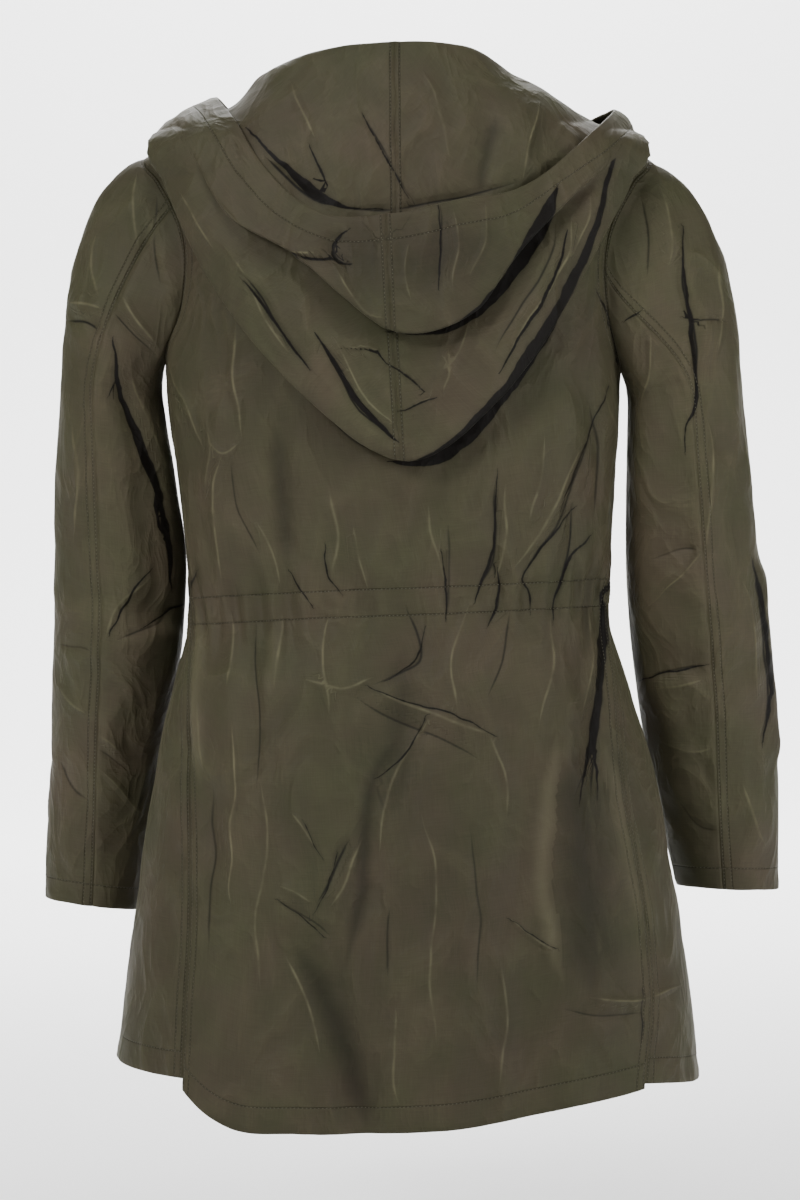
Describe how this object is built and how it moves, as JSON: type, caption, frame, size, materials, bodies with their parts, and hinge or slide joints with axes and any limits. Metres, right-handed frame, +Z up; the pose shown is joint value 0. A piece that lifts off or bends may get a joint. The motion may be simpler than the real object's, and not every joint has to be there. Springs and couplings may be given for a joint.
{
  "type": "hooded zip jacket, worn form",
  "caption": "Hip-length hooded zip jacket in its hollow worn form, hood folded down, gathered waist, long sleeves, rounded longer back hem and hinged zip pull.",
  "frame": {"origin": "on the body's axis at the height of the neck seam, where the wearer's neck and shoulders hold the jacket", "axes": "+Z up; the front faces -Y, the back +Y; the wearer's left is +X"},
  "size_m": [0.5797, 0.2704, 0.8143],
  "materials": {
    "cloth": "crisp crinkled woven cloth, dark olive, soft sheen",
    "trim": "woven tape, dark olive, matt",
    "metal": "dark antique metal, satin"
  },
  "bodies": {
    "jacket": {"back": "cloth", "front_left": "cloth", "front_right": "cloth", "hood_left": "cloth", "hood_right": "cloth", "sleeve_left_outer": "cloth", "sleeve_left_under": "cloth", "sleeve_right_outer": "cloth", "sleeve_right_under": "cloth", "waist_casing": "trim", "zip_tape_left": "trim", "zip_tape_right": "trim", "zip_chain": "metal", "zip_slider": "metal"},
    "pull": {"zip_pull": "metal"}
  },
  "joints": [
    {"name": "pull_swing", "type": "hinge", "parent": "jacket", "child": "pull", "pos_m": [0, -0.10038, -0.07243], "axis": [-1, 0, 0], "range_deg": [0, 140]}
  ]
}
